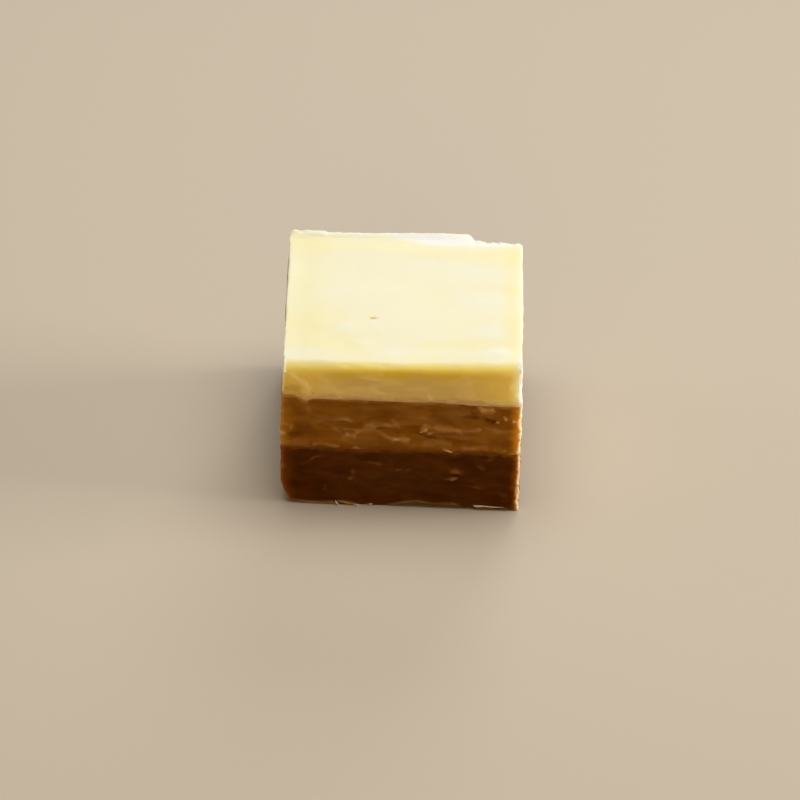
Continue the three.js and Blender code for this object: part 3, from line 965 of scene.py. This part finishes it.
groups = {
    "knifeDrag": makeGroup("knifeDrag", "Streak", dragStreaks, Length=2.0, Height=0.4, Contrast=0.2),
    "nutFlecks": makeGroup("nutFlecks", "Fleck", fleckSpots, Size=0.35, Share=0.25),
    "mottle": makeGroup("mottle", "Shade", mottleShade, Length=4.0, Height=4.0),
    "raggedFade": makeGroup("raggedFade", "Fade", edgeFade, Distance=1.0, Reach=0.5, Ragged=0.3, Amount=1.0),
}
print("shader groups made")


def useGroup(tree, name, **values):
    return addNode(tree, "ShaderNodeGroup", values, node_tree=groups[name]).outputs[0]


def readAttribute(tree, name):
    return addNode(tree, "ShaderNodeAttribute", attribute_name=name).outputs["Fac"]


def mixColor(tree, factor, first, second):
    first, second = [c if hasattr(c, "is_output") else (*c, 1) for c in (first, second)]
    return addNode(tree, "ShaderNodeMix", {0: factor, 6: first, 7: second}, data_type="RGBA").outputs[2]


# What all the nougats share. Less light goes astray into the layer below, right above its seam.
coating = {"shadeTint": 0.8, "seamScatter": 0.3, "seamScatterReach": 0.8, "ior": 1.46,
           "fades": {"highSeam": "below", "ends": "corner", "lowSeam": "above", "dragged": "below"}}


# Each coat is a mask and the colour that it brings, from the first to the last
def nougatCoats(tree, finish, mottle, drag, fleck):
    coats = [(times(tree, drag, finish["dragTint"]), finish["smeared"])]
    for label, place in coating["fades"].items():
        if label in finish:
            color, reach, ragged, amount = finish[label]
            fade = useGroup(tree, "raggedFade", Distance=readAttribute(tree, place), Reach=reach,
                            Ragged=ragged, Amount=amount)
            coats.append((fade, color))
    if "skin" in finish:
        cut, aside = readAttribute(tree, "cut"), readAttribute(tree, "aside")
        coats.append((aside, mixColor(tree, drag, *finish["aside"])))
        coats.append((remap(tree, cut, *finish["rimAt"]), finish["rim"]))
    pale = readAttribute(tree, "pale")
    coats += [(readAttribute(tree, "glow"), finish["glow"]), (pale, finish["smeared"]),
              (doMath(tree, "SUBTRACT", pale, 1.0), finish["bright"]),
              (times(tree, fleck, finish["fleckTint"]), finish["fleck"])]
    if "skin" in finish:
        warmth = remap(tree, mottle, 0.0, 1.0, finish["mottleWarmth"], 0.0)
        warmth = doMath(tree, "ADD", readAttribute(tree, "warm"), warmth)
        skin = mixColor(tree, warmth, finish["skin"], finish["skinDeep"])
        coats.append((remap(tree, cut, *finish["skinAt"]), skin))
    # the darkest coat is painted shade in the tears, craters and the pit
    paintedShade = times(tree, readAttribute(tree, "paintedShade"), coating["shadeTint"])
    return coats + [(readAttribute(tree, "burrAndHighlight"), finish["burrAndHighlight"]), (paintedShade, finish["paintedShade"])]


def nougatMaterial(name, finish):
    material = bpy.data.materials.new(name)
    material.use_nodes = True
    tree = material.node_tree
    tree.nodes.clear()
    mottle = useGroup(tree, "mottle", Length=finish["mottle"][0], Height=finish["mottle"][1])
    drag = useGroup(tree, "knifeDrag", Length=finish["drag"][0], Height=finish["drag"][1])
    fleck = useGroup(tree, "nutFlecks", Size=finish["fleckSize"], Share=finish["fleckShare"])
    color = mixColor(tree, mottle, finish["deep"], finish["main"])
    for mask, coat in nougatCoats(tree, finish, mottle, drag, fleck):
        color = mixColor(tree, mask, color, coat)
    dragHeight, fleckHeight = times(tree, drag, finish["dragBump"]), times(tree, fleck, finish["fleckBump"])
    height = doMath(tree, "ADD", dragHeight, fleckHeight)
    if "skin" in finish:
        height = times(tree, height, readAttribute(tree, "cut"))
    roughness = remap(tree, doMath(tree, "ADD", drag, mottle), 0.0, 2.0, finish["gloss"], finish["matte"])
    bump = addNode(tree, "ShaderNodeBump", {"Height": height, "Distance": mm, "Strength": 1.0})
    scatter = remap(tree, readAttribute(tree, "above"), 0.0, coating["seamScatterReach"],
                    coating["seamScatter"] * finish["scatter"], finish["scatter"])
    shader = addNode(tree, "ShaderNodeBsdfPrincipled", {
        "Base Color": color, "Roughness": roughness, "Normal": bump.outputs["Normal"],
        "Subsurface Weight": scatter, "Subsurface Radius": finish["scatterReach"], "Subsurface Scale": mm,
        "Specular IOR Level": finish["shine"], "IOR": coating["ior"]}, subsurface_method="RANDOM_WALK")
    out = addNode(tree, "ShaderNodeOutputMaterial")
    tree.links.new(shader.outputs["BSDF"], out.inputs["Surface"])
    return material


# mottle and drag: length and height of the pattern.
# highSeam, lowSeam, dragged and ends: the colour at a seam or towards the corners, its reach,
# raggedness and strength.
# The glow colour is painted light shining through the corners, the bright colour that of the strongest
# painted highlights, the colour of the burrs that of pale burrs and painted highlights, and the darkest
# colour painted shade in tears, craters and the pit.
darkFinish = {
    "main": (0.0934, 0.0245, 0.0004), "deep": (0.0574, 0.015, 0.0003), "smeared": (0.315, 0.153, 0.052),
    "bright": (0.6, 0.36, 0.18),
    "fleck": (0.16, 0.068, 0.018), "paintedShade": (0.024, 0.0056, 0.0004),
    "highSeam": ((0.18, 0.062, 0.005), 0.52, 0.25, 1.0), "lowSeam": ((0.12, 0.036, 0.002), 0.9, 0.4, 0.3),
    "glow": (0.33, 0.092, 0.003), "burrAndHighlight": (0.78, 0.56, 0.33),
    "mottle": (2.6, 1.2), "drag": (1.8, 0.7), "dragTint": 0.02, "dragBump": 0.005,
    "fleckSize": 0.3, "fleckShare": 0.05, "fleckTint": 0.1, "fleckBump": 0.01,
    "gloss": 0.4, "matte": 0.6, "shine": 0.015, "scatter": 0.5, "scatterReach": (1.2, 0.6, 0.2),
}
lightFinish = {
    "main": (0.287, 0.1125, 0.0066), "deep": (0.193, 0.0648, 0.0006), "smeared": (0.54, 0.3, 0.1),
    "bright": (0.98, 0.61, 0.25),
    "fleck": (0.4, 0.21, 0.06), "paintedShade": (0.1, 0.026, 0.0003),
    # highSeam: painted shade under the overhang of the white layer
    "highSeam": ((0.19, 0.064, 0.002), 1.0, 0.4, 0.3), "lowSeam": ((0.19, 0.067, 0.004), 0.6, 0.25, 0.85),
    "dragged": ((0.6, 0.34, 0.08), 0.36, 0.15, 0.48),
    "glow": (0.79, 0.345, 0.023), "burrAndHighlight": (0.95, 0.8, 0.5),
    "mottle": (3.0, 1.0), "drag": (2.0, 0.7), "dragTint": 0.06, "dragBump": 0.006,
    "fleckSize": 0.32, "fleckShare": 0.06, "fleckTint": 0.15, "fleckBump": 0.012,
    "gloss": 0.42, "matte": 0.62, "shine": 0.03, "scatter": 0.5, "scatterReach": (1.3, 0.7, 0.25),
}
whiteFinish = {
    # main and deep: the front cut, darker and more golden than the cream of the other cuts, as painted shade
    "main": (0.77, 0.59, 0.225), "deep": (0.74, 0.555, 0.2), "smeared": (0.96, 0.76, 0.34),
    "bright": (0.96, 0.76, 0.34),
    # rim: painted light shining through the rolled rim
    "skin": (0.968, 0.914, 0.735), "skinDeep": (0.984, 0.864, 0.517), "rim": (1.0, 0.79, 0.2),
    "rimAt": (0.98, 0.72), "skinAt": (0.75, 0.05),  # where the rim and the poured top take over from the cut
    "mottleWarmth": 0.25,
    "aside": ((0.74, 0.62, 0.35), (0.8, 0.7, 0.43)),  # on the cuts away from the front
    "fleck": (0.85, 0.65, 0.3), "paintedShade": (0.64, 0.43, 0.03),
    # highSeam: a golden band under the rim, painted light shining through it
    "highSeam": ((0.79, 0.61, 0.017), 2.4, 0.5, 0.95), "lowSeam": ((0.63, 0.365, 0.17), 0.62, 0.25, 0.88),
    # ends: painted light towards the corners of the front
    "ends": ((0.92, 0.705, 0.17), 7.5, 0.8, 1.0), "glow": (1.0, 0.868, 0.475), "burrAndHighlight": (1.0, 1.0, 0.9),
    "mottle": (5.0, 3.5), "drag": (2.4, 0.8), "dragTint": 0.15, "dragBump": 0.005,
    "fleckSize": 0.3, "fleckShare": 0.04, "fleckTint": 0.12, "fleckBump": 0.004,
    "gloss": 0.45, "matte": 0.6, "shine": 0.15, "scatter": 0.7, "scatterReach": (1.0, 0.95, 0.6),
}
shavingFinish = {**darkFinish, "main": (0.4, 0.25, 0.15), "deep": (0.3, 0.18, 0.1),
                 "smeared": (0.85, 0.62, 0.42)}

pieces = [("dark_nougat", buildDark(), nougatMaterial("darkNougat", darkFinish)),
          ("light_nougat", buildLight(), nougatMaterial("lightNougat", lightFinish)),
          ("white_nougat", buildWhite(), nougatMaterial("whiteNougat", whiteFinish))]
for node, piece, material in pieces:
    piece.data.materials.append(material)
    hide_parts(node)
    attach(piece, "root")
    print(piece.name, len(piece.data.polygons), "faces")
curls = buildShavings()
curls.data.materials.append(nougatMaterial("shavingNougat", shavingFinish))
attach(curls, "root")
print("shavings made")

# Floor, light and camera
studio = {
    "floor": (0.6, 0.52, 0.41), "floorSize": 4.0, "floorRoughness": 0.9, "floorShine": 0.2,
    "sky": (0.05, 0.04, 0.03), "aimHeight": 8,
    # each light: place and size in metres, power, colour
    "lights": {
        "overheadBox": ((0.03, 0.04, 0.3), 0.3, 0.745, (1, 1, 1)),
        "backBox": ((0.2, 0.9, 0.35), 0.4, 3.0, (1, 1, 1)),
        "rightBox": ((0.98, 0.03, 0.18), 0.4, 9.7, (1, 0.97, 0.92)),
        "leftBox": ((-0.98, 0.14, 0.18), 0.4, 1.4, (1, 0.97, 0.92)),
        "warmFill": ((0, -0.6, 0.1), 0.5, 1.27, (1, 0.6, 0.14)),
    },
}


def makeFloor():
    size = studio["floorSize"]
    mesh = bpy.data.meshes.new("floor")
    outline = [(-size, -size, 0), (size, -size, 0), (size, size, 0), (-size, size, 0)]
    mesh.from_pydata(outline, [], [(0, 1, 2, 3)])
    material = bpy.data.materials.new("paleFloor")
    material.use_nodes = True
    shader = material.node_tree.nodes["Principled BSDF"]
    shader.inputs["Base Color"].default_value = (*studio["floor"], 1)
    shader.inputs["Roughness"].default_value = studio["floorRoughness"]
    shader.inputs["Specular IOR Level"].default_value = studio["floorShine"]
    mesh.materials.append(material)
    floor = addObject("floor", mesh)


def addLight(name, place, size, power, color):
    lamp = bpy.data.lights.new(name, "AREA")
    lamp.size, lamp.energy, lamp.color = size, power, color
    light = addObject(name, lamp)
    light.location = place
    aim = Vector((0, 0, studio["aimHeight"] * mm)) - Vector(place)
    light.rotation_euler = aim.to_track_quat("-Z", "Y").to_euler()


makeFloor()
for name, settings in studio["lights"].items():
    addLight(name, *settings)
world = bpy.data.worlds.new("studio")
world.use_nodes = True
world.node_tree.nodes["Background"].inputs["Color"].default_value = (*studio["sky"], 1)
bpy.context.scene.world = world

photoView = {"elevation": 34.92, "distance": 650, "roll": 1.5, "lens": 306.7, "sensor": 36,
             "target": (0, 0, 8), "aside": (-0.27, -2.96), "clip": (0.01, 20)}  # clip in metres


def makeCamera():
    tilt, roll = math.radians(photoView["elevation"]), math.radians(photoView["roll"])
    target = Vector(photoView["target"])
    place = target + photoView["distance"] * Vector((0, -math.cos(tilt), math.sin(tilt)))
    right, up = Vector((1, 0, 0)), Vector((0, math.sin(tilt), math.cos(tilt)))
    rolledRight = math.cos(roll) * right + math.sin(roll) * up
    rolledUp = math.cos(roll) * up - math.sin(roll) * right
    aim = target + photoView["aside"][0] * rolledRight + photoView["aside"][1] * rolledUp
    backward = (place - aim).normalized()
    side = (rolledRight - backward * rolledRight.dot(backward)).normalized()
    data = bpy.data.cameras.new("photoCamera")
    data.sensor_width, data.lens = photoView["sensor"], photoView["lens"]
    data.clip_start, data.clip_end = photoView["clip"]
    camera = addObject("photoCamera", data)
    turn = Matrix((side, backward.cross(side), backward)).transposed()
    camera.matrix_world = Matrix.Translation(place * mm) @ turn.to_4x4()
    bpy.context.scene.camera = camera


makeCamera()
bpy.context.scene.view_settings.view_transform = "Standard"
print("stage, lights and camera made")
